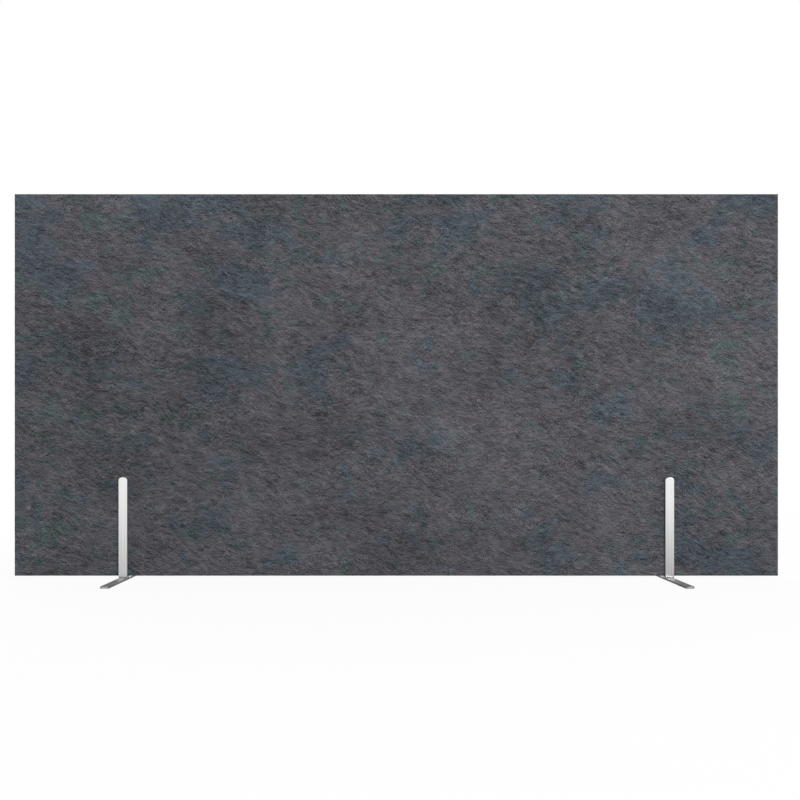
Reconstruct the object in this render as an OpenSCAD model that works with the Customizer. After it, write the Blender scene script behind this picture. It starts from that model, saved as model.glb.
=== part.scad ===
// Free-standing acoustic divider screen: a raw-edged felt board held upright by slip-on feet.
// Each foot is a deep U-shaped clip, bent from flat strip, screwed down on a flat base bar.
// Origin: on the floor, midway along the board and midway through its thickness.
// X runs along the board, -Y points to the front and +Z points up.

/* [Board] */
// Board width along the floor
board_w = 1200; // [600:10:1800]
// Board height
board_h = 600; // [300:10:900]
// Board thickness
board_t = 9; // [6:0.5:24]
// Softened edge where the felt is cut
board_edge = 0.6; // [0.1:0.1:2]

/* [Strip] */
// Width of the flat strip
strip_w = 13.6; // [10:0.1:30]
// Thickness of the flat strip
strip_t = 3; // [2:0.1:5]
// Broken edge along the strip
strip_edge = 0.4; // [0.1:0.05:0.9]
// How far the rounded end stands out past the straight sides
tip_rise = 3.9; // [1:0.1:5]

/* [Feet] */
// From the end of the board to the middle of each foot
foot_inset = 171; // [10:1:280]
// Height of the clip's arms above the base bar
clip_h = 158.5; // [60:0.5:280]
// Inside radius of the two bends of the clip
bend_r = 1; // [0.5:0.1:4]
// Length of the base bar, tip to tip
bar_l = 240; // [120:1:400]

/* [Screws] */
// Radius of a screw's shank
screw_r = 1.5; // [1:0.1:2]
// Radius of a screw's countersunk head
head_r = 2.75; // [2:0.05:3]
// How far a head is sunk into the bar's underside
head_sink = 0.1; // [0:0.05:0.4]
// Distance between the two screws of a foot
screw_pitch = 6.4; // [6:0.1:8]
// How far a shank's end stays below the floor of the slot
screw_short = 0.4; // [0.1:0.1:1]
// Width of a blade of the cross recess
recess_w = 0.7; // [0.4:0.1:1]
// Length of a blade of the cross recess
recess_l = 2.6; // [1.5:0.1:3]
// Depth of the cross recess
recess_d = 1.1; // [0.5:0.1:1.5]

/* [Pads] */
// Length of a floor pad
pad_l = 30; // [10:1:60]
// Width of a floor pad
pad_w = 9; // [6:0.5:12]
// Thickness of a floor pad
pad_t = 0.5; // [0.3:0.1:2]
// From the bar's tip to the near end of its pad
pad_inset = 6; // [3:0.5:20]

/* [Fits] */
// Running gap between a face of the board and an arm
grip_gap = 0.1; // [0.02:0.01:0.1]
// Least gap under the board's lower edge
seat_gap = 0.3; // [0.1:0.05:1]
// Gap around a shank in the clip's threaded hole
thread_gap = 0.05; // [0.01:0.01:0.1]
// Gap around a shank in the bar's through hole
through_gap = 0.2; // [0.1:0.05:0.4]

/* [Hidden] */
$fn = 96;

// One overrun serves every cut
over = 1;

LEFT = -1;
RIGHT = 1;
FRONT = -1;
REAR = 1;

half_w = strip_w / 2;
// Radius of the arc that closes the end of a strip
tip_r = (half_w * half_w + tip_rise * tip_rise) / (2 * tip_rise);

bar_z = pad_t;
clip_z = bar_z + strip_t;
seat_z = clip_z + strip_t;
// The board's softened lower edges come down no further than the clip's bends leave room for
board_z = seat_z + max(seat_gap, bend_r - board_edge);

foot_x = board_w / 2 - foot_inset;

// From the board's mid-plane to the inner face of an arm, and to the axis of its bend
slot_half = board_t / 2 + grip_gap;
bend_y = slot_half - bend_r;

thread_r = screw_r + thread_gap;
through_r = screw_r + through_gap;
head_h = head_r - screw_r;
screw_l = 2 * strip_t - head_sink - screw_short;

felt_colour = [0.33, 0.33, 0.35];
metal_colour = [0.80, 0.80, 0.80];
screw_colour = [0.62, 0.62, 0.64];
rubber_colour = [0.10, 0.10, 0.11];

// A rectangle w by h, standing on the X axis, with its four corners cut off by c
module cut_corner_rectangle(w, h, c) {
    polygon([
        [-w / 2 + c, 0], [w / 2 - c, 0],
        [w / 2, c], [w / 2, h - c],
        [w / 2 - c, h], [-w / 2 + c, h],
        [-w / 2, h - c], [-w / 2, c],
    ]);
}

// The strip's cross-section, with broken edges
module strip_section() {
    cut_corner_rectangle(strip_w, strip_t, strip_edge);
}

// A square-ended strip lying along +Y from y = 0
module straight_strip(l) {
    translate([0, l, 0])
        rotate([90, 0, 0])
            linear_extrude(height = l)
                strip_section();
}

// What a rounded end leaves of a strip that stops at y = l: an edge-broken disc and all that lies behind it
module tip_limit(l) {
    translate([0, l - tip_r, 0]) {
        rotate_extrude()
            intersection() {
                cut_corner_rectangle(2 * tip_r, strip_t, strip_edge);
                translate([0, -over])
                    square([tip_r + over, strip_t + 2 * over]);
            }
        translate([-strip_w, -l, -over])
            cube([2 * strip_w, l, strip_t + 2 * over]);
    }
}

// A strip along +Y from y = 0, with its far end rounded
module tipped_strip(l) {
    intersection() {
        straight_strip(l + over);
        tip_limit(l);
    }
}

// A quarter turn that carries the strip from lying along +Y to standing up
module strip_bend() {
    translate([0, 0, strip_t + bend_r])
        rotate([0, 90, 0])
            rotate_extrude(angle = 90)
                translate([bend_r + strip_t, 0])
                    rotate(90)
                        strip_section();
}

// The rear half of the clip: half of the slot's floor, one bend and one arm
module clip_half() {
    straight_strip(bend_y);
    translate([0, bend_y, 0])
        strip_bend();
    translate([0, slot_half + strip_t, strip_t + bend_r])
        rotate([90, 0, 0])
            tipped_strip(clip_h - strip_t - bend_r);
}

// Places a thing at both screws of a foot
module at_screws() {
    for (side = [LEFT, RIGHT])
        translate([side * screw_pitch / 2, 0, 0])
            children();
}

module clip() {
    difference() {
        union() {
            clip_half();
            mirror([0, 1, 0])
                clip_half();
        }
        at_screws()
            translate([0, 0, -over])
                cylinder(r = thread_r, h = strip_t + 2 * over);
    }
}

module base_bar() {
    difference() {
        union() {
            tipped_strip(bar_l / 2);
            mirror([0, 1, 0])
                tipped_strip(bar_l / 2);
        }
        at_screws() {
            translate([0, 0, -over])
                cylinder(r = through_r, h = strip_t + 2 * over);
            translate([0, 0, -over])
                cylinder(r1 = head_r + head_sink + over, r2 = 0, h = head_r + head_sink + over);
        }
    }
}

// A countersunk screw, head down, with its head's flat face on z = 0
module screw() {
    difference() {
        union() {
            cylinder(r1 = head_r, r2 = screw_r, h = head_h);
            cylinder(r = screw_r, h = screw_l);
        }
        for (turn = [0, 90])
            rotate(turn)
                translate([-recess_l / 2, -recess_w / 2, -over])
                    cube([recess_l, recess_w, recess_d + over]);
    }
}

// A round-ended pad along Y, centred on the origin
module pad() {
    straight = pad_l - pad_w;
    translate([-pad_w / 2, -straight / 2, 0])
        cube([pad_w, straight, pad_t]);
    for (end = [FRONT, REAR])
        translate([0, end * straight / 2, 0])
            cylinder(d = pad_w, h = pad_t);
}

module felt_board() {
    color(felt_colour)
        translate([0, 0, board_z])
            intersection() {
                translate([0, board_t / 2, 0])
                    rotate([90, 0, 0])
                        linear_extrude(height = board_t)
                            cut_corner_rectangle(board_w, board_h, board_edge);
                translate([-board_w / 2, 0, 0])
                    rotate([90, 0, 90])
                        linear_extrude(height = board_w)
                            cut_corner_rectangle(board_t, board_h, board_edge);
                translate([0, -board_t / 2, 0])
                    linear_extrude(height = board_h)
                        cut_corner_rectangle(board_w, board_t, board_edge);
            }
}

module foot_clip(side) {
    color(metal_colour)
        translate([side * foot_x, 0, clip_z])
            clip();
}

module foot_bar(side) {
    color(metal_colour)
        translate([side * foot_x, 0, bar_z])
            base_bar();
}

module foot_screws(side) {
    color(screw_colour)
        translate([side * foot_x, 0, bar_z + head_sink])
            at_screws()
                screw();
}

module foot_pad(side, end) {
    color(rubber_colour)
        translate([side * foot_x, end * (bar_l / 2 - pad_inset - pad_l / 2), 0])
            pad();
}

module left_clip() { foot_clip(LEFT); }
module right_clip() { foot_clip(RIGHT); }
module left_base_bar() { foot_bar(LEFT); }
module right_base_bar() { foot_bar(RIGHT); }
module left_screws() { foot_screws(LEFT); }
module right_screws() { foot_screws(RIGHT); }
module left_front_pad() { foot_pad(LEFT, FRONT); }
module left_rear_pad() { foot_pad(LEFT, REAR); }
module right_front_pad() { foot_pad(RIGHT, FRONT); }
module right_rear_pad() { foot_pad(RIGHT, REAR); }

felt_board();
left_clip();
right_clip();
left_base_bar();
right_base_bar();
left_screws();
right_screws();
left_front_pad();
left_rear_pad();
right_front_pad();
right_rear_pad();
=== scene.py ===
"""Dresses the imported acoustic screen: a needled felt board held by two satin metal feet."""

import math
import random

import bmesh
import bpy
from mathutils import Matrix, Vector, noise


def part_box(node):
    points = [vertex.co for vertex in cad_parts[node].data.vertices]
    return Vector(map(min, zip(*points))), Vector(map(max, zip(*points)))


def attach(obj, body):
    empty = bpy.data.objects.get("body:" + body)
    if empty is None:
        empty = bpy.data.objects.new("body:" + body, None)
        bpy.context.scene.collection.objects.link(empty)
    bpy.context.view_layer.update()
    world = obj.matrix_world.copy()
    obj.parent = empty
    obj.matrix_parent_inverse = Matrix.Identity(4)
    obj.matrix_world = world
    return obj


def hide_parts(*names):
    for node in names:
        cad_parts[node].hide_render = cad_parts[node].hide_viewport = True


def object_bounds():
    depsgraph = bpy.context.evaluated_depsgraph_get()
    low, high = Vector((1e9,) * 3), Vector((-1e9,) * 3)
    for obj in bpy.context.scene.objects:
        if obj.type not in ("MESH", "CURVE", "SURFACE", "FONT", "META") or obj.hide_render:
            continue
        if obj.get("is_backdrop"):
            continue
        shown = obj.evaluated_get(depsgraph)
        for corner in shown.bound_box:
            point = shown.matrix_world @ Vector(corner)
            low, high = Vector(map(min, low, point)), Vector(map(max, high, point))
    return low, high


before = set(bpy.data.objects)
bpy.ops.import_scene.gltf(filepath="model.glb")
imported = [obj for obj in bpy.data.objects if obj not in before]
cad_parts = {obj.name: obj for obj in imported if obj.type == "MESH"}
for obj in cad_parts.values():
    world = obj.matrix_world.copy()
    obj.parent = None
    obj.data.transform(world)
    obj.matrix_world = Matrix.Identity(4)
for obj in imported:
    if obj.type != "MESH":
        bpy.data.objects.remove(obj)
CAD_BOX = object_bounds()

MM = 0.001
FRONT, REAR = -1, 1
SIDES = ("left", "right")
ENDS = ("front", "rear")

# Camera, level and a little left of the middle
CAMERA_AT = (-0.020, -1.6772, 0.1904)
LENS = 47.90
SHIFT = (0.0205, 0.0738)

# Studio
WORLD_LIGHT = 0.56
KEY_LAMP = {"at": (2.1, -2.3, 1.9), "size": 1.8, "power": 56}
FILL_LAMP = {"at": (-2.4, -2.6, 1.6), "size": 2.4, "power": 10}
BACK_LAMP = {"at": (-1.6, 2.6, 2.0), "size": 2.4, "power": 34}
LAMPS_AIM = (0.0, 0.0, 0.30)
# What metal mirrors above the floor, by the sine of the angle up: a white horizon, then a greyer
# wall in front, white behind the board, and over both a grey ceiling
WALL_FROM_TO = (0.03, 0.12)
WALL_MIRRORED = 0.60
CEILING_FROM_TO = (0.35, 0.9)
CEILING_MIRRORED = 0.35
BACKDROP_FROM_TO = (-0.1, 0.1)
FLOOR_REACH = 30.0
# The floor's colour in plain light, to the camera, and to metal that mirrors it, where its darker
# grey is painted shade
FLOOR_COLOUR = 0.70
FLOOR_SEEN = 0.95
FLOOR_MIRRORED_SHADE = 0.30
# How much of the floor is lit up white to the camera, near the object and far from it
WHITE_SEEN = (0.92, 1.0)
WHITE_FROM_TO = (0.4, 3.0)
# To metal it is lit up behind the board, and in front of the feet, where it brightens with
# distance from a spot of painted shade a little right of the middle; under the board metal sees the
# painted shade grey
MIRROR_BEHIND = (0.035, 0.055)
MIRROR_AHEAD = (0.01, 0.03)
MIRROR_SHADE_AT = (0.2, 0.0, 0.0)
MIRROR_NEAR_FAR = (0.2, 9.0)
MIRROR_BRIGHTNESS = (0.35, 0.98)

# Strip that the feet are made of; the same sizes as in the solids
STRIP_T = 3.0 * MM
STRIP_EDGE = 0.4 * MM
TIP_RISE = 3.9 * MM
BEND_R = 1.0 * MM

# Screws, and the holes that they go through
SCREW_PITCH = 6.4 * MM
SCREW_R = 1.5 * MM
HEAD_R = 2.75 * MM
HEAD_SINK = 0.1 * MM
THREAD_HOLE_R = 1.55 * MM
THROUGH_HOLE_R = 1.7 * MM
THREAD_PITCH = 0.5 * MM
THREAD_DEPTH = 0.16 * MM
SCREW_CHAMFER = 0.08 * MM
SCREW_SIDES = 24
ROWS_A_PITCH = 6
# Length, width and depth of a blade of the cross recess, and how wide it is against these where
# its cutter starts, below the head, and where it ends
RECESS = (2.6 * MM, 0.7 * MM, 1.1 * MM)
RECESS_TAPER = (1.1, 0.8)
# How far every cutter runs over
OVER = 1.0 * MM

# Steps along the meshes of the strips
BEND_STEPS = 10
ARM_STEPS = 10
BAR_STATIONS = 10
# No station comes nearer than this to the arc that closes a strip
STATION_CLEAR = 0.1 * MM
# Edges that turn by more than this stay sharp, and the weight keeps large faces flat
SHARP_ANGLE = math.radians(40)
LARGE_FACE_WEIGHT = 80

# Metal: the finish of its faces and of its cut edges; the cut edges are rougher, and their lower
# tone is painted shade
CLIP_FINISH = {
    "colour": (0.96, 0.96, 0.955),
    "metallic": 0.90,
    "roughness": (0.17, 0.55),
    "tone": (1.0, 0.45),
    "grain": 0.16,
}
# The bar's strip is given a darker colour than the clip's, as painted shade
BAR_FINISH = {
    "colour": (0.62, 0.62, 0.615),
    "metallic": 0.70,
    "roughness": (0.33, 0.55),
    "tone": (1.0, 0.40),
    "grain": 0.20,
}
SCREW_FINISH = {
    "colour": (0.62, 0.62, 0.63),
    "metallic": 0.90,
    "roughness": (0.30, 0.30),
    "tone": (1.0, 1.0),
    "grain": 0.10,
}
# From where to where in the attribute cut_edge the one finish gives way to the other
CUT_EDGE_SPAN = (0.2, 0.8)
# Marks on the metal: noise scale along and across the strip, detail, roughness, and how much
# they change the tone; then how much the wear changes the roughness
BRUSH_LINES = ((12, 3000, 3000), 3, 0.6, 0.10)
BRUSH_BANDS = ((5, 480, 480), 2, 0.5, 0.16)
WEAR_MARKS = ((30, 60, 60), 3, 0.6, 0.04)
WEAR_SHINE = 0.05
BRUSH_BUMP = {"Strength": 0.25, "Distance": 0.02 * MM}

# Rubber
PAD_EDGE = 0.14 * MM
RUBBER_CLEAN = (0.010, 0.010, 0.011, 1)
RUBBER_DUSTY = (0.035, 0.034, 0.033, 1)
RUBBER_ROUGHNESS = 0.75
RUBBER_DUST = {"scale": 120.0, "detail": 3, "roughness": 0.6}
RUBBER_STIPPLE = {"scale": 2500.0, "detail": 2, "roughness": 0.5}
STIPPLE_BUMP = {"Strength": 0.4, "Distance": 0.05 * MM}

# Felt
FELT_PLUM = (0.0950, 0.0922, 0.1055, 1)
FELT_TEAL = (0.0745, 0.0965, 0.0965, 1)
FELT_BLUE = (0.0730, 0.0893, 0.1060, 1)
FELT_ROSE = (0.1050, 0.0890, 0.1020, 1)
# Patches of coloured fibres: tilt in degrees, cell across and along in mm, and seed; detail and
# roughness of the noise; from where to where in it they come in; and their greatest share
BLUE_PATCHES = {"cell": (0, 95, 130, 11), "grain": (5, 0.78), "span": (0.497, 0.558), "most": 1.0}
TEAL_PATCHES = {"cell": (0, 45, 60, 12), "grain": (4, 0.75), "span": (0.520, 0.600), "most": 0.95}
ROSE_PATCHES = {"cell": (-14, 18, 34, 13), "grain": (3, 0.6), "span": (0.600, 0.680), "most": 0.8}
# Where the blue and teal fibres thin out: middle, 1 / reach in metres, from where to where in
# reaches, and by how much
PLAIN_PATCH_AT = (0.02, 0.0, 0.20)
PLAIN_PATCH_REACH = (2.2, 0.0, 3.2)
PLAIN_PATCH_SPAN = (0.3, 1.3)
PLAIN_PATCH_DEPTH = 0.06
# Noise scale per metre, and how far it carries the fibres in X, Y and Z
FLOW_BENDS = (
    (11.0, (0.020, 0.001, 0.030)),
    (45.0, (0.004, 0.001, 0.005)),
)
# Weight; tilt in degrees; cell across and along the fibres in mm; seed
FELT_STREAKS = (
    (0.72, -17, 0.8, 10, 1),
    (0.66, -38, 0.8, 10, 2),
    (0.66, 2, 0.8, 11, 3),
    (0.60, 28, 0.8, 10, 4),
)
FELT_GRAIN = (
    (4.9, -15, 0.9, 1.4, 5),
    (1.15, -20, 2.4, 9, 6),
    (1.3, -14, 9.0, 24, 9),
)
FELT_CLOUD = (
    (0.9, -12, 60, 100, 7),
    (0.75, -12, 260, 330, 8),
)
FELT_DARKEST = 0.2
GRAIN_NOISE = {"detail": 2, "roughness": 0.6}
CLOUD_NOISE = {"detail": 3, "roughness": 0.5}
# How much painted shade darkens the hollow beside a fibre, how the hollow changes the height, and a
# grain's height
HOLLOW_PAINTED_SHADE = -0.2
HOLLOW_HEIGHT = -1.2
GRAIN_HEIGHT = 0.4
FELT_BUMP = {"Strength": 0.5, "Distance": 0.4 * MM}
# How far apart in the noise two seeds lie
SEED_STEP = (7.31, 3.17, 5.73)
FELT_FINISH = {
    "Roughness": 0.95,
    "Specular IOR Level": 0.15,
    "Sheen Weight": 0.12,
    "Sheen Roughness": 0.5,
}
# Cell of the mesh of a face, how far the face is sunk, and how high its relief is
FELT_CELL = 5.0 * MM
FELT_SUNK = 0.13 * MM
FELT_RELIEF = 0.07 * MM
# The relief's cell in metres along X and Z, and its layers: weight, and how much finer
RELIEF_CELL = (0.018, 0.010)
RELIEF_LAYERS = ((0.7, 1.0), (0.3, 2.6))
RELIEF_SEED = 3.7
# The cut edge: its rounding and its rows, the depth and the cell in metres of its fray and of a
# slower wave, and how far it is sunk to make up for them
FELT_EDGE = 0.7 * MM
EDGE_ROUND_STEPS = 3
EDGE_ROWS = 6
EDGE_FRAY = 0.10 * MM
EDGE_FRAY_CELL = (0.004, 0.0015, 0.004)
EDGE_WAVE = 0.06 * MM
EDGE_WAVE_CELL = 0.05
EDGE_WAVE_SEED = 9.0
EDGE_SUNK = 0.04 * MM
# Where the board's parts lie in its baked map: left, low, wide, high
BOARD_MAP = {
    "front": (0.004, 0.526, 0.992, 0.470),
    "rear": (0.004, 0.048, 0.992, 0.472),
    "bottom": (0.004, 0.004, 0.992, 0.009),
    "top": (0.004, 0.018, 0.992, 0.009),
    "right": (0.004, 0.032, 0.490, 0.009),
    "left": (0.504, 0.032, 0.490, 0.009),
}

# Loose fibres that lie on both faces
FIBRES_A_SIDE = 10000
FIBRE_SEED = {FRONT: 11, REAR: 12}
FIBRE_LENGTH = (6.0 * MM, 28.0 * MM)
FIBRE_WIDTH = (0.25 * MM, 0.55 * MM)
FIBRE_RISE = (0.05 * MM, 0.11 * MM)
FIBRE_ROOT = 0.06 * MM
# Mean and spread in degrees of how they lie, then how far one turns at each joint
FIBRE_HEADING = (-17, 24)
FIBRE_TURN = 8
FIBRE_JOINTS = 4
# Mean and spread of how light they are against the felt, and the darkest
FIBRE_TONE = (1.15, 0.65)
FIBRE_DARKEST = 0.25
# Noise that changes their tone along them, and by how much
FIBRE_NOISE = {"scale": 700.0, "detail": 2, "roughness": 0.6}
FIBRE_CHANGE = 1.2
# Furthest from the board's mid-plane, just inside the arms' faces
FIBRE_LIMIT = 4.54 * MM
# Where a fibre's two sides and its middle lie across its cell of the baked map
FIBRE_MAP = (0.1, 0.5, 0.9)


class Graph:
    """Writes the node tree of a material or of the world."""

    def __init__(self, owner):
        owner.use_nodes = True
        self.tree = owner.node_tree
        self.tree.nodes.clear()

    def node(self, kind, inputs=None, **settings):
        made = self.tree.nodes.new("ShaderNode" + kind)
        for name, value in settings.items():
            setattr(made, name, value)
        for key, value in (inputs or {}).items():
            self.feed(made.inputs[key], value)
        return made

    def feed(self, socket, value):
        if isinstance(value, bpy.types.NodeSocket):
            self.tree.links.new(value, socket)
        else:
            socket.default_value = value

    def maths(self, operation, *values):
        made = self.node("Math", operation=operation)
        for socket, value in zip(made.inputs, values):
            self.feed(socket, value)
        return made.outputs[0]

    def vector(self, operation, *values):
        made = self.node("VectorMath", operation=operation)
        for socket, value in zip(made.inputs, values):
            self.feed(socket, value)
        return made.outputs[0]

    def total(self, *terms):
        """The sum of (weight, socket) pairs."""
        made = None
        for weight, socket in terms:
            made = self.maths("MULTIPLY_ADD", socket, weight, 0.0 if made is None else made)
        return made

    def noise(self, vector, detail=2.0, roughness=0.5, scale=1.0, output="Fac"):
        inputs = {"Vector": vector, "Scale": scale, "Detail": detail, "Roughness": roughness}
        return self.node("TexNoise", inputs).outputs[output]

    def span(self, value, low, high, to_low=0.0, to_high=1.0, smooth=True):
        """Carries value from low..high to to_low..to_high, held at both ends."""
        inputs = {"Value": value, 1: low, 2: high, 3: to_low, 4: to_high}
        kind = "SMOOTHSTEP" if smooth else "LINEAR"
        return self.node("MapRange", inputs, interpolation_type=kind).outputs[0]

    def mixed(self, factor, a, b, blend="MIX"):
        inputs = {0: factor, 6: a, 7: b}
        return self.node("Mix", inputs, data_type="RGBA", blend_type=blend).outputs[2]

    def surface(self, shader):
        out = self.node("OutputMaterial")
        self.feed(out.inputs["Surface"], shader)

    def seen_directly(self, camera, mirrored):
        """camera for rays from the camera, mirrored for those off metal and glass, 0 for light."""
        path = self.node("LightPath")
        mirror = self.maths(
            "MAXIMUM", path.outputs["Is Glossy Ray"], path.outputs["Is Transmission Ray"]
        )
        return self.maths(
            "ADD",
            self.maths("MULTIPLY", path.outputs["Is Camera Ray"], camera),
            self.maths("MULTIPLY", mirror, mirrored),
        )


def new_object(name, mesh):
    made = bpy.data.objects.new(name, mesh)
    bpy.context.scene.collection.objects.link(made)
    return made


def make_camera():
    data = bpy.data.cameras.new("camera")
    data.lens = LENS
    data.shift_x, data.shift_y = SHIFT
    camera = new_object("camera", data)
    camera.location = CAMERA_AT
    camera.rotation_euler = (math.pi / 2, 0, 0)
    bpy.context.scene.camera = camera


def make_lamp(name, at, size, power):
    data = bpy.data.lights.new(name, "AREA")
    data.shape = "DISK"
    data.size = size
    data.energy = power
    lamp = new_object(name, data)
    lamp.location = at
    lamp.rotation_euler = (Vector(LAMPS_AIM) - Vector(at)).to_track_quat("-Z", "Y").to_euler()


def make_world():
    world = bpy.data.worlds.new("studio")
    bpy.context.scene.world = world
    g = Graph(world)
    looking = g.node("SeparateXYZ", {0: g.node("TexCoord").outputs["Generated"]}).outputs
    wall = g.span(looking["Z"], *WALL_FROM_TO, 1.0, WALL_MIRRORED)
    wall = g.maths("MAXIMUM", wall, g.span(looking["Y"], *BACKDROP_FROM_TO))
    ceiling = g.span(looking["Z"], *CEILING_FROM_TO, 1.0, CEILING_MIRRORED)
    white = g.seen_directly(1.0, g.maths("MINIMUM", wall, ceiling))
    light = g.maths("SUBTRACT", 1.0, g.seen_directly(1.0, 1.0))
    strength = g.maths("ADD", white, g.maths("MULTIPLY", light, WORLD_LIGHT))
    background = g.node("Background", {"Color": (1, 1, 1, 1), "Strength": strength})
    out = g.node("OutputWorld")
    g.feed(out.inputs["Surface"], background.outputs[0])


def make_floor():
    mesh = bpy.data.meshes.new("floor")
    r = FLOOR_REACH
    mesh.from_pydata([(-r, -r, 0), (r, -r, 0), (r, r, 0), (-r, r, 0)], [], [(0, 1, 2, 3)])
    floor = new_object("floor", mesh)
    floor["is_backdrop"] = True
    material = bpy.data.materials.new("pale_floor")
    g = Graph(material)
    place = g.node("TexCoord").outputs["Object"]
    y = g.node("SeparateXYZ", {0: place}).outputs["Y"]
    away = g.node("VectorMath", {0: place}, operation="LENGTH").outputs["Value"]
    # Metal mirrors painted shade on the floor: round a spot near the feet, and as a darker grey
    # under the board
    shade_spot_distance = g.node("VectorMath", {0: place, 1: MIRROR_SHADE_AT}, operation="DISTANCE")
    shade_spot_distance = shade_spot_distance.outputs["Value"]
    behind = g.span(y, *MIRROR_BEHIND)
    ahead = g.span(g.maths("MULTIPLY", y, -1.0), *MIRROR_AHEAD)
    near, far = (math.log10(distance) for distance in MIRROR_NEAR_FAR)
    fade = g.span(g.maths("LOGARITHM", shade_spot_distance, 10.0), near, far, *MIRROR_BRIGHTNESS)
    seen = g.span(away, *WHITE_FROM_TO, *WHITE_SEEN, smooth=False)
    share = g.seen_directly(seen, g.maths("MAXIMUM", behind, ahead))
    strength = g.seen_directly(1.0, g.maths("MAXIMUM", behind, fade))
    grey = g.seen_directly(FLOOR_SEEN - FLOOR_COLOUR, FLOOR_MIRRORED_SHADE - FLOOR_COLOUR)
    grey = g.maths("ADD", grey, FLOOR_COLOUR)
    colour = g.node("CombineColor", {0: grey, 1: grey, 2: grey}).outputs[0]
    paper = g.node("BsdfDiffuse", {"Color": colour}).outputs[0]
    glow = g.node("Emission", {"Color": (1, 1, 1, 1), "Strength": strength}).outputs[0]
    g.surface(g.node("MixShader", {0: share, 1: paper, 2: glow}).outputs[0])
    mesh.materials.append(material)


def apply_modifiers(obj):
    """Leaves the object with the mesh that its modifiers give."""
    graph = bpy.context.evaluated_depsgraph_get()
    mesh = bpy.data.meshes.new_from_object(obj.evaluated_get(graph))
    obj.modifiers.clear()
    obj.data = mesh


def cut_away(obj, cutters):
    for cutter in cutters:
        cut = obj.modifiers.new("cut", "BOOLEAN")
        cut.operation = "DIFFERENCE"
        cut.solver = "EXACT"
        cut.object = cutter
    apply_modifiers(obj)
    for cutter in cutters:
        bpy.data.objects.remove(cutter)


def lay_grain(obj, middle):
    """Gives the grain attribute to each vertex that has none: along Y from the middle."""
    mesh = obj.data
    layer = mesh.attributes.get("grain") or mesh.attributes.new("grain", "FLOAT_VECTOR", "POINT")
    for vertex, cell in zip(mesh.vertices, layer.data):
        if cell.vector.length == 0:
            x, y, z = vertex.co - middle
            cell.vector = (y, x, z)


def smooth(obj):
    """Smooth shading that stays flat on large faces and sharp at sharp edges."""
    obj.data.shade_smooth()
    obj.data.set_sharp_from_angle(angle=SHARP_ANGLE)
    weighted = obj.modifiers.new("weighted", "WEIGHTED_NORMAL")
    weighted.keep_sharp = True
    weighted.weight = LARGE_FACE_WEIGHT


def felt_flow(g):
    """Object coordinates, bent so that fibres that run along X wander up and down."""
    place = g.node("TexCoord").outputs["Object"]
    for scale, reach in FLOW_BENDS:
        bend = g.noise(place, detail=1.0, scale=scale, output="Color")
        bend = g.vector("SUBTRACT", bend, (0.5, 0.5, 0.5))
        place = g.vector("ADD", place, g.vector("MULTIPLY", bend, reach))
    return place


def stretched(g, place, tilt, across, along, seed):
    """The place tilted in the board's plane and scaled to one noise cell."""
    turned = g.node(
        "VectorRotate",
        {"Vector": place, "Angle": math.radians(tilt)},
        rotation_type="Y_AXIS",
    ).outputs[0]
    cells = g.vector("MULTIPLY", turned, (1 / (along * MM), 1 / (across * MM), 1 / (across * MM)))
    return g.vector("ADD", cells, tuple(seed * step for step in SEED_STEP))


def centred(g, socket):
    return g.maths("SUBTRACT", socket, 0.5)


def streaks(g, flow, tilt, across, along, seed):
    """A random tone for each short fibre that runs at the tilt, about 0, and its hollow sides."""
    cells = stretched(g, flow, tilt, across, along, seed)
    fibre = g.node("TexVoronoi", {"Vector": cells, "Scale": 1.0})
    return centred(g, fibre.outputs["Color"]), centred(g, fibre.outputs["Distance"])


def felt_tone(g, flow):
    """How much lighter or darker the felt is here, and its height."""
    tones, heights = [], []
    for weight, *cell in FELT_STREAKS:
        tone, hollow = streaks(g, flow, *cell)
        # The hollow beside each fibre is sunk, and darkened by painted shade
        tones += [(weight, tone), (HOLLOW_PAINTED_SHADE * weight, hollow)]
        heights.append((HOLLOW_HEIGHT * weight, hollow))
    for weight, *cell in FELT_GRAIN:
        tone = centred(g, g.noise(stretched(g, flow, *cell), **GRAIN_NOISE))
        tones.append((weight, tone))
        heights.append((GRAIN_HEIGHT * weight, tone))
    for weight, *cell in FELT_CLOUD:
        tone = centred(g, g.noise(stretched(g, flow, *cell), **CLOUD_NOISE))
        tones.append((weight, tone))
    return g.total(*tones), g.total(*heights)


def patches(g, flow, lack, cell, grain, span, most):
    """The share of fibres that have one colour here, smaller where lack is below 0."""
    here = g.maths("ADD", g.noise(stretched(g, flow, *cell), *grain), lack)
    return g.span(here, *span, 0.0, most)


def felt_colour(g, flow):
    """Plum-grey fibres with patches of reddish, teal and blue ones."""
    place = g.node("TexCoord").outputs["Object"]
    far = g.vector("MULTIPLY", g.vector("SUBTRACT", place, PLAIN_PATCH_AT), PLAIN_PATCH_REACH)
    far = g.node("VectorMath", {0: far}, operation="LENGTH").outputs["Value"]
    lack = g.span(far, *PLAIN_PATCH_SPAN, -PLAIN_PATCH_DEPTH, 0.0)
    colour = g.mixed(patches(g, flow, 0.0, **ROSE_PATCHES), FELT_PLUM, FELT_ROSE)
    colour = g.mixed(patches(g, flow, lack, **TEAL_PATCHES), colour, FELT_TEAL)
    return g.mixed(patches(g, flow, lack, **BLUE_PATCHES), colour, FELT_BLUE)


def felt_material(name):
    material = bpy.data.materials.new(name)
    g = Graph(material)
    flow = felt_flow(g)
    tone, height = felt_tone(g, flow)
    light = g.maths("MAXIMUM", g.maths("ADD", tone, 1.0), FELT_DARKEST)
    colour = g.vector("SCALE", felt_colour(g, flow))
    g.feed(colour.node.inputs["Scale"], light)
    bump = g.node("Bump", {"Height": height, **FELT_BUMP})
    felt = g.node("BsdfPrincipled", {"Base Color": colour, "Normal": bump.outputs[0], **FELT_FINISH})
    g.surface(felt.outputs[0])
    return material


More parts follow.
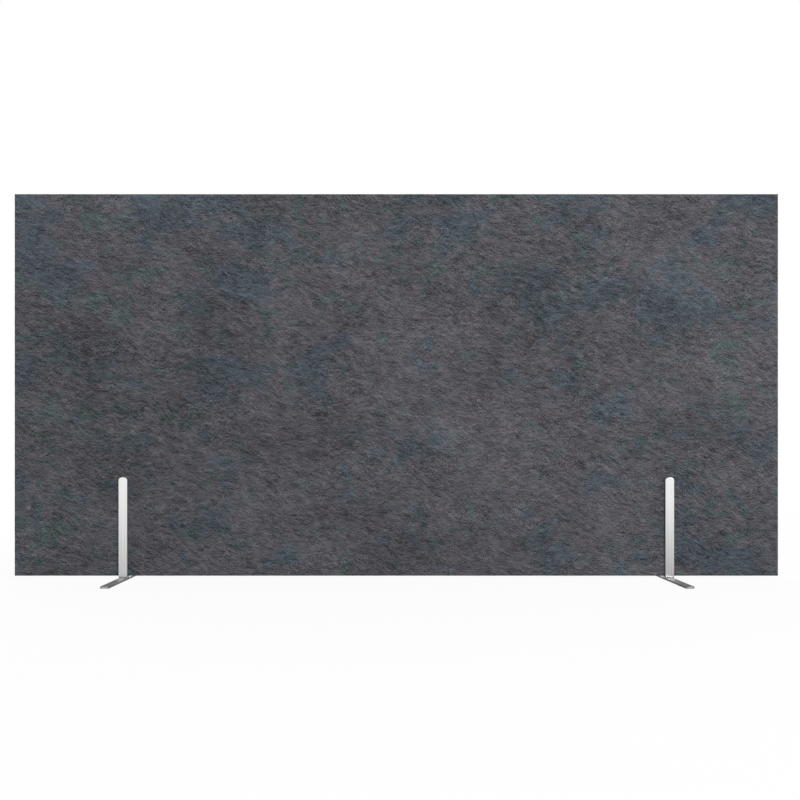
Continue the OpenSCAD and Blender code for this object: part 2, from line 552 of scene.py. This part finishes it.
def fibre_material(name):
    """The felt's colours, as light as each fibre's own tone, with a little change along it."""
    material = bpy.data.materials.new(name)
    g = Graph(material)
    flow = felt_flow(g)
    own = g.node("Attribute", attribute_name="tone").outputs["Fac"]
    along = centred(g, g.noise(flow, **FIBRE_NOISE))
    light = g.maths("MULTIPLY", own, g.maths("MULTIPLY_ADD", along, FIBRE_CHANGE, 1.0))
    colour = g.vector("SCALE", felt_colour(g, flow))
    g.feed(colour.node.inputs["Scale"], light)
    fibre = g.node("BsdfPrincipled", {"Base Color": colour, **FELT_FINISH})
    g.surface(fibre.outputs[0])
    return material


def relief(x, z, side):
    """How far the felt's face stands out here, of its full relief."""
    at = Vector((x / RELIEF_CELL[0], side * RELIEF_SEED, z / RELIEF_CELL[1]))
    return sum(weight * noise.noise(at * finer) for weight, finer in RELIEF_LAYERS)


class BoardGrid:
    """The solid board's box, and the grid of nx by nz cells on both its faces."""

    def __init__(self):
        self.low, self.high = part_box("felt_board")
        self.wide, self.tall = self.high.x - self.low.x, self.high.z - self.low.z
        self.half_t = (self.high.y - self.low.y) / 2
        self.nx = round(self.wide / FELT_CELL)
        self.nz = round(self.tall / FELT_CELL)

    def face_out(self, x, z, side):
        """Distance from the board's mid-plane to the felt's face here."""
        return self.half_t - FELT_SUNK + FELT_RELIEF * relief(x, z, side)

    def spot(self, i, j, inset):
        """X and Z of a crossing of the grid, when its border is this far inside the box."""
        x = self.low.x + inset + (self.wide - 2 * inset) * i / self.nx
        z = self.low.z + inset + (self.tall - 2 * inset) * j / self.nz
        return x, z

    def index(self, side, i, j):
        """Number of a crossing's vertex: those of the front come first, then the rear's."""
        first = 0 if side == FRONT else (self.nx + 1) * (self.nz + 1)
        return first + j * (self.nx + 1) + i

    def border(self):
        """The crossings of the grid's border, once round."""
        loop = [(i, 0) for i in range(self.nx)]
        loop += [(self.nx, j) for j in range(self.nz)]
        loop += [(i, self.nz) for i in range(self.nx, 0, -1)]
        loop += [(0, j) for j in range(self.nz, 0, -1)]
        return loop

    def edge_step(self, k):
        """The edge that step k round the border runs along, and where on it it starts and ends."""
        edges = (("bottom", self.nx), ("right", self.nz), ("top", self.nx), ("left", self.nz))
        for name, steps in edges:
            if k < steps:
                return name, k / steps, (k + 1) / steps
            k -= steps


def on_map(part, along, up):
    left, low, wide, high = BOARD_MAP[part]
    return left + wide * along, low + high * up


def edge_levels(half_t):
    """(inset, y) of each ring of the cut edge, from the front face to the rear one."""
    face_y = half_t - FELT_SUNK
    turns = [step * math.pi / 2 / EDGE_ROUND_STEPS for step in range(1, EDGE_ROUND_STEPS + 1)]
    front = [(FELT_EDGE * (1 - math.sin(turn)), -face_y + FELT_EDGE * (1 - math.cos(turn)))
             for turn in turns]
    start = front[-1][1]
    middle = [(0.0, start - 2 * start * k / EDGE_ROWS) for k in range(1, EDGE_ROWS)]
    return front + middle + [(inset, -y) for inset, y in reversed(front)]


def edge_fray(x, y, z):
    """How far the rough cut edge stands out here."""
    cells = (x / EDGE_FRAY_CELL[0], y / EDGE_FRAY_CELL[1], z / EDGE_FRAY_CELL[2])
    wave = (x / EDGE_WAVE_CELL, EDGE_WAVE_SEED, z / EDGE_WAVE_CELL)
    fray = EDGE_FRAY * noise.noise(Vector(cells)) + EDGE_WAVE * noise.noise(Vector(wave))
    return fray - EDGE_SUNK


def board_face(grid, side, part):
    """Vertices, faces and map places of one face of the board."""
    vertices, faces, places = [], [], []
    for j in range(grid.nz + 1):
        for i in range(grid.nx + 1):
            x, z = grid.spot(i, j, FELT_EDGE)
            vertices.append((x, side * grid.face_out(x, z, side), z))
    for j in range(grid.nz):
        for i in range(grid.nx):
            corners = [(i, j), (i + 1, j), (i + 1, j + 1), (i, j + 1)][::-side]
            faces.append([grid.index(side, *corner) for corner in corners])
            places += [on_map(part, a / grid.nx, b / grid.nz) for a, b in corners]
    return vertices, faces, places


def board_edge(grid, first):
    """Vertices, from number first on, faces and map places of the cut edge all round."""
    border = grid.border()
    count = len(border)
    vertices, faces, places = [], [], []
    rings = [[grid.index(FRONT, *crossing) for crossing in border]]
    for inset, y in edge_levels(grid.half_t):
        rings.append(range(first + len(vertices), first + len(vertices) + count))
        for i, j in border:
            x, z = grid.spot(i, j, inset)
            out = edge_fray(x, y, z)
            x += out * ((i == grid.nx) - (i == 0))
            z += out * ((j == grid.nz) - (j == 0))
            vertices.append((x, y, z))
    rings.append([grid.index(REAR, *crossing) for crossing in border])
    for row, (near, far) in enumerate(zip(rings, rings[1:])):
        up, higher = row / (len(rings) - 1), (row + 1) / (len(rings) - 1)
        for k in range(count):
            after = (k + 1) % count
            faces.append([near[after], near[k], far[k], far[after]])
            part, start, stop = grid.edge_step(k)
            corners = [(stop, up), (start, up), (start, higher), (stop, higher)]
            places += [on_map(part, *corner) for corner in corners]
    return vertices, faces, places


def make_board():
    grid = BoardGrid()
    front = board_face(grid, FRONT, "front")
    rear = board_face(grid, REAR, "rear")
    edge = board_edge(grid, len(front[0]) + len(rear[0]))
    vertices, faces, places = (sum(lists, []) for lists in zip(front, rear, edge))
    mesh = bpy.data.meshes.new("felt_board")
    mesh.from_pydata(vertices, [], faces)
    chart = mesh.uv_layers.new(name="OFBake")
    for corner, place in zip(chart.uv, places):
        corner.vector = place
    board = new_object("felt_panel", mesh)
    mesh.shade_smooth()
    mesh.materials.append(felt_material("needled_felt"))
    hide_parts("felt_board")
    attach(board, "board")


def fibre_spine(rng):
    """Joints (x, z) of one fibre from its first, which is at the origin."""
    step = rng.uniform(*FIBRE_LENGTH) / FIBRE_JOINTS
    heading = rng.gauss(*FIBRE_HEADING)
    x = z = 0.0
    spine = [(x, z)]
    for _ in range(FIBRE_JOINTS):
        x += step * math.cos(math.radians(heading))
        z += step * math.sin(math.radians(heading))
        heading += rng.gauss(0, FIBRE_TURN)
        spine.append((x, z))
    return spine


def fibre_fits(spine, low, high):
    """Whether the fibre stays on the flat of the board's face."""
    inset = FELT_EDGE + FIBRE_WIDTH[1]
    return all(low.x + inset < p.x < high.x - inset and low.z + inset < p.y < high.z - inset
               for p in spine)


def fibre_ring(spine, k, out, width, rise):
    """Corners at joint k: point, distance from the mid-plane, and place across the baked map."""
    here = spine[k]
    left, middle, right = FIBRE_MAP
    if k in (0, FIBRE_JOINTS):
        return [(here, out - FIBRE_ROOT / 2, middle)]
    run = (spine[k + 1] - spine[k - 1]).normalized()
    across = Vector((-run.y, run.x)) * width / 2
    return [
        (here - across, out - FIBRE_ROOT, left),
        (here, min(out + rise, FIBRE_LIMIT), middle),
        (here + across, out - FIBRE_ROOT, right),
    ]


def ring_faces(near, far):
    """Faces between two rings of three corners, either of which may be a single point."""
    for k in range(3):
        after = (k + 1) % 3
        if len(near) == 1:
            yield [near[0], far[after], far[k]]
        elif len(far) == 1:
            yield [near[k], near[after], far[0]]
        else:
            yield [near[k], near[after], far[after], far[k]]


def make_fibres(side, material):
    """Three-sided fibres with pointed ends that lie half sunk in one face of the board."""
    grid = BoardGrid()
    low, high = grid.low, grid.high
    rng = random.Random(FIBRE_SEED[side])
    vertices, faces, tones, places = [], [], [], []
    cells = math.ceil(math.sqrt(FIBRES_A_SIDE))
    made = 0
    while made < FIBRES_A_SIDE:
        at = Vector((rng.uniform(low.x, high.x), rng.uniform(low.z, high.z)))
        spine = [at + Vector(joint) for joint in fibre_spine(rng)]
        width, rise = rng.uniform(*FIBRE_WIDTH), rng.uniform(*FIBRE_RISE)
        tone = max(FIBRE_DARKEST, rng.gauss(*FIBRE_TONE))
        if not fibre_fits(spine, low, high):
            continue
        column, row = made % cells, made // cells
        first = len(vertices)
        rings = []
        for k, here in enumerate(spine):
            out = grid.face_out(here.x, here.y, side)
            along = (k + 0.5) / len(spine)
            corners = fibre_ring(spine, k, out, width, rise)
            rings.append(range(len(vertices), len(vertices) + len(corners)))
            for spot, y, v in corners:
                vertices.append((spot.x, side * y, spot.y))
                places.append(((column + along) / cells, (row + v) / cells))
        tones += [tone] * (len(vertices) - first)
        # [::side] turns the front's faces round, so that both sides' fibres face outwards
        for near, far in zip(rings, rings[1:]):
            faces += [face[::side] for face in ring_faces(near, far)]
        made += 1
    name = "felt_front_fibres" if side == FRONT else "felt_rear_fibres"
    mesh = bpy.data.meshes.new(name)
    mesh.from_pydata(vertices, [], faces)
    mesh.attributes.new("tone", "FLOAT", "POINT").data.foreach_set("value", tones)
    chart = mesh.uv_layers.new(name="OFBake")
    for loop in mesh.loops:
        chart.uv[loop.index].vector = places[loop.vertex_index]
    mesh.shade_smooth()
    mesh.materials.append(material)
    fibres = new_object(name, mesh)
    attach(fibres, "board")


def metal_material(name, colour, metallic, roughness, tone, grain):
    """Metal brushed along the attribute named grain; roughness and tone on faces, cut edges, where
    the lower tone is painted shade.
    """
    material = bpy.data.materials.new(name)
    g = Graph(material)
    place = g.node("Attribute", attribute_name="grain").outputs["Vector"]
    edge = g.node("Attribute", attribute_name="cut_edge").outputs["Fac"]
    marks, toned = [], []
    for scale, detail, rough, share in (BRUSH_LINES, BRUSH_BANDS, WEAR_MARKS):
        marks.append(g.noise(g.vector("MULTIPLY", place, scale), detail, rough))
        toned.append((share, centred(g, marks[-1])))
    weights = (grain, grain, WEAR_SHINE)
    shine = g.total(*((weight, centred(g, mark)) for weight, mark in zip(weights, marks)))
    shine = g.maths("ADD", shine, g.span(edge, *CUT_EDGE_SPAN, *roughness))
    # The cut edges' lower tone is painted shade on the strip's sides
    light = g.maths("ADD", g.total(*toned), g.span(edge, *CUT_EDGE_SPAN, *tone))
    paint = g.vector("SCALE", colour)
    g.feed(paint.node.inputs["Scale"], light)
    bump = g.node("Bump", {"Height": marks[0], **BRUSH_BUMP})
    metal = g.node("BsdfPrincipled", {
        "Base Color": paint,
        "Metallic": metallic,
        "Roughness": shine,
        "Normal": bump.outputs[0],
    })
    g.surface(metal.outputs[0])
    return material


def rubber_material():
    material = bpy.data.materials.new("matt_rubber")
    g = Graph(material)
    place = g.node("TexCoord").outputs["Object"]
    colour = g.mixed(g.noise(place, **RUBBER_DUST), RUBBER_CLEAN, RUBBER_DUSTY)
    bump = g.node("Bump", {"Height": g.noise(place, **RUBBER_STIPPLE), **STIPPLE_BUMP})
    rubber = g.node("BsdfPrincipled", {
        "Base Color": colour,
        "Roughness": RUBBER_ROUGHNESS,
        "Normal": bump.outputs[0],
    })
    g.surface(rubber.outputs[0])
    return material


def strip_outline(half_l, half_w, rise, between, arc_steps=12):
    """The right-hand outline (s, u) of a strip with two rounded ends, from end to end."""
    radius = (half_w ** 2 + rise ** 2) / (2 * rise)
    widest = math.asin(min(1.0, half_w / radius))
    arc = []
    for step in range(arc_steps + 1):
        turn = widest * step / arc_steps
        arc.append((radius * math.cos(turn) + half_l - radius, radius * math.sin(turn)))
    inner = [(s, half_w) for s in between if abs(s) < half_l - rise - STATION_CLEAR]
    near = [(-s, u) for s, u in arc]
    return near + sorted(inner) + arc[::-1]


def outline_normals(points):
    """Outward normals of a closed outline, up to twice as long so that an inset is even."""
    normals = []
    for k, here in enumerate(points):
        before, after = Vector(points[k - 1]), Vector(points[(k + 1) % len(points)])
        here = Vector(here)
        turns = []
        for step in (here - before, after - here):
            step.normalize()
            turns.append(Vector((step.y, -step.x)))
        middle = (turns[0] + turns[1]).normalized()
        normals.append(middle / max(0.5, middle.dot(turns[0])))
    return normals


def plate_mesh(name, right, thickness, edge, place, edge_steps=4):
    """A strip with rounded edges; place() carries (s, u, h) to the frame, h from its middle."""
    # Anticlockwise seen from above: out along -u and back along +u
    left = [(s, -u) for s, u in right]
    outline = left + right[-2:0:-1]
    normals = outline_normals(outline)
    half = thickness / 2
    quarter = [step * math.pi / 2 / edge_steps for step in range(edge_steps + 1)]
    levels = [(edge * (1 - math.sin(a)), half - edge * (1 - math.cos(a))) for a in quarter]
    levels += [(inset, -h) for inset, h in reversed(levels)]
    vertices, grain, cut_edge, faces = [], [], [], []
    for inset, h in levels:
        for (s, u), normal in zip(outline, normals):
            s, u = s - inset * normal.x, u - inset * normal.y
            vertices.append(place(s, u, h))
            grain.append((s, u, h))
            # The milled ends keep the faces' finish; the cut edges' painted shade stops short of
            # them
            cut_edge.append(min(1.0, abs(normal.y)) if inset < edge / 2 else 0.0)
    count = len(outline)
    for level in range(len(levels) - 1):
        for k in range(count):
            a, b = level * count + k, level * count + (k + 1) % count
            faces.append((b, a, a + count, b + count))
    last = len(right) - 1
    base = (len(levels) - 1) * count

    def across(k):
        """The two sides' indices at station k, the same point at either end."""
        return k, (count - k) % count

    for k in range(last):
        near_left, near_right = across(k)
        far_left, far_right = across(k + 1)
        top = [near_left, far_left, far_right, near_right]
        top = list(dict.fromkeys(top))
        faces.append(top)
        faces.append([base + i for i in reversed(top)])
    mesh = bpy.data.meshes.new(name)
    mesh.from_pydata(vertices, [], faces)
    layer = mesh.attributes.new("grain", "FLOAT_VECTOR", "POINT")
    layer.data.foreach_set("vector", [c for v in grain for c in v])
    mesh.attributes.new("cut_edge", "FLOAT", "POINT").data.foreach_set("value", cut_edge)
    fixed = bmesh.new()
    fixed.from_mesh(mesh)
    bmesh.ops.recalc_face_normals(fixed, faces=fixed.faces)
    fixed.to_mesh(mesh)
    fixed.free()
    return mesh


def turned(profile, sides=32, groove=None):
    """Vertices and faces of a solid turned round Z from (radius, z) pairs, closed at both ends."""
    vertices, faces = [], []
    for radius, z in profile:
        for k in range(sides):
            turn = 2 * math.pi * k / sides
            here = radius - (groove(turn, z) if groove else 0.0)
            vertices.append((here * math.cos(turn), here * math.sin(turn), z))
    for row in range(len(profile) - 1):
        for k in range(sides):
            a, b = row * sides + k, row * sides + (k + 1) % sides
            faces.append((a, b, b + sides, a + sides))
    top = (len(profile) - 1) * sides
    faces.append(tuple(reversed(range(sides))))
    faces.append(tuple(range(top, top + sides)))
    return vertices, faces


def solid_at(name, places, vertices, faces):
    """One object that holds the same solid at each of the places."""
    all_vertices, all_faces = [], []
    for place in places:
        first = len(all_vertices)
        all_vertices += [Vector(v) + place for v in vertices]
        all_faces += [[first + i for i in face] for face in faces]
    mesh = bpy.data.meshes.new(name)
    mesh.from_pydata(all_vertices, [], all_faces)
    return new_object(name, mesh)


def screw_places(side, z):
    low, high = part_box(side + "_base_bar")
    middle = (low + high) / 2
    return [Vector((middle.x + end * SCREW_PITCH / 2, middle.y, z)) for end in (FRONT, REAR)]


def laid_flat(middle):
    """The place() of a strip that lies along Y about the middle."""
    return lambda s, u, h: (middle.x + u, middle.y + s, middle.z + h)


def make_clip(side, metal):
    low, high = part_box(side + "_clip")
    middle = (low.x + high.x) / 2
    arm_out = (high.y - low.y) / 2
    flat = arm_out - STRIP_T - BEND_R
    bend_mid = BEND_R + STRIP_T / 2
    bend_l = bend_mid * math.pi / 2
    arm_l = high.z - low.z - STRIP_T - BEND_R
    half_l = flat + bend_l + arm_l

    def place(s, u, h):
        end = 1 if s > 0 else -1
        s = abs(s)
        if s <= flat:
            y, z = s, STRIP_T / 2 + h
        elif s <= flat + bend_l:
            turn = (s - flat) / bend_mid
            y = flat + (bend_mid - h) * math.sin(turn)
            z = STRIP_T + BEND_R - (bend_mid - h) * math.cos(turn)
        else:
            y = arm_out - STRIP_T / 2 - h
            z = STRIP_T + BEND_R + s - flat - bend_l
        return middle + u, end * y, low.z + z

    # No station crosses the screw holes
    stations = [-flat, flat]
    for step in range(1, BEND_STEPS + 1):
        stations += [end * (flat + bend_l * step / BEND_STEPS) for end in (FRONT, REAR)]
    for step in range(1, ARM_STEPS):
        stations += [end * (flat + bend_l + arm_l * step / ARM_STEPS) for end in (FRONT, REAR)]
    right = strip_outline(half_l, (high.x - low.x) / 2, TIP_RISE, stations)
    mesh = plate_mesh(side + "_clip_strip", right, STRIP_T, STRIP_EDGE, place)
    mesh.materials.append(metal)
    clip = new_object(side + "_clip_strip", mesh)
    hole = turned([(THREAD_HOLE_R, -OVER), (THREAD_HOLE_R, STRIP_T + OVER)])
    cut_away(clip, [solid_at("hole", screw_places(side, low.z), *hole)])
    lay_grain(clip, Vector((middle, 0, low.z + STRIP_T / 2)))
    smooth(clip)
    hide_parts(side + "_clip")
    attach(clip, side + "_foot")


def make_bar(side, metal):
    low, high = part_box(side + "_base_bar")
    middle = (low + high) / 2
    half_l = (high.y - low.y) / 2
    # An even number of stations, so that none crosses the screw holes
    stations = [half_l * (2 * k + 1 - BAR_STATIONS) / BAR_STATIONS for k in range(BAR_STATIONS)]
    right = strip_outline(half_l, (high.x - low.x) / 2, TIP_RISE, stations)
    mesh = plate_mesh(side + "_bar_strip", right, STRIP_T, STRIP_EDGE, laid_flat(middle))
    mesh.materials.append(metal)
    bar = new_object(side + "_bar_strip", mesh)
    mouth = HEAD_R + HEAD_SINK
    hole = turned([(mouth + OVER, -OVER), (THROUGH_HOLE_R, mouth - THROUGH_HOLE_R),
                   (THROUGH_HOLE_R, STRIP_T + OVER)])
    cut_away(bar, [solid_at("hole", screw_places(side, low.z), *hole)])
    lay_grain(bar, middle)
    smooth(bar)
    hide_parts(side + "_base_bar")
    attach(bar, side + "_foot")


def recess_cutters(places):
    """The two crossed blades that cut the recess of the screw at each of the places."""
    length, width, deep = RECESS
    sides = [(3, 2, 1, 0), (4, 5, 6, 7)]
    sides += [(k, (k + 1) % 4, (k + 1) % 4 + 4, k + 4) for k in range(4)]
    cutters = []
    for x, y in ((length, width), (width, length)):
        blade = [(i * x / 2 * k, j * y / 2 * k, z) for z, k in zip((-OVER, deep), RECESS_TAPER)
                 for i, j in ((-1, -1), (1, -1), (1, 1), (-1, 1))]
        cutters.append(solid_at("blade", places, blade, sides))
    return cutters


def make_screws(side, steel):
    """Two countersunk screws, head down, with a cross recess and a cut thread."""
    low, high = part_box(side + "_screws")
    length = high.z - low.z
    cone = HEAD_R - SCREW_R
    thread_from, thread_to = cone + SCREW_CHAMFER, length - 2 * SCREW_CHAMFER
    rows = math.ceil((thread_to - thread_from) / THREAD_PITCH * ROWS_A_PITCH)

    def groove(turn, z):
        if not thread_from <= z <= thread_to:
            return 0.0
        wave = math.cos(2 * math.pi * z / THREAD_PITCH - turn)
        return THREAD_DEPTH * (0.5 - 0.5 * wave)

    profile = [(HEAD_R - SCREW_CHAMFER, 0.0), (HEAD_R, SCREW_CHAMFER), (SCREW_R, cone)]
    profile += [(SCREW_R, thread_from + (thread_to - thread_from) * k / rows)
                for k in range(rows + 1)]
    profile += [(SCREW_R - 2 * SCREW_CHAMFER, length)]
    places = screw_places(side, low.z)
    screws = solid_at(side + "_turned_screws", places, *turned(profile, SCREW_SIDES, groove))
    screws.data.materials.append(steel)
    cut_away(screws, recess_cutters(places))
    lay_grain(screws, (low + high) / 2)
    smooth(screws)
    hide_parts(side + "_screws")
    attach(screws, side + "_foot")


def make_pad(side, end, rubber):
    low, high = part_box(f"{side}_{end}_pad")
    middle, size = (low + high) / 2, high - low
    right = strip_outline(size.y / 2, size.x / 2, size.x / 2, [0.0])
    mesh = plate_mesh(f"{side}_{end}_rubber", right, size.z, PAD_EDGE, laid_flat(middle))
    mesh.materials.append(rubber)
    pad = new_object(f"{side}_{end}_rubber", mesh)
    smooth(pad)
    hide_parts(f"{side}_{end}_pad")
    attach(pad, side + "_foot")


bpy.context.scene.view_settings.view_transform = "Standard"
make_camera()
make_lamp("key", **KEY_LAMP)
make_lamp("fill", **FILL_LAMP)
make_lamp("back", **BACK_LAMP)
make_world()
make_floor()
make_board()

fibre = fibre_material("loose_fibre")
for side in (FRONT, REAR):
    make_fibres(side, fibre)

satin = metal_material("satin_clip", **CLIP_FINISH)
# The bar's darker colour is painted shade
painted_shade_bar_metal = metal_material("satin_bar", **BAR_FINISH)
steel = metal_material("screw_steel", **SCREW_FINISH)
rubber = rubber_material()
for side in SIDES:
    make_clip(side, satin)
    make_bar(side, painted_shade_bar_metal)
    make_screws(side, steel)
    for end in ENDS:
        make_pad(side, end, rubber)

boxes = {"cad": CAD_BOX, "visual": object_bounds()}
{k: [list(c) for c in box] for k, box in boxes.items()}
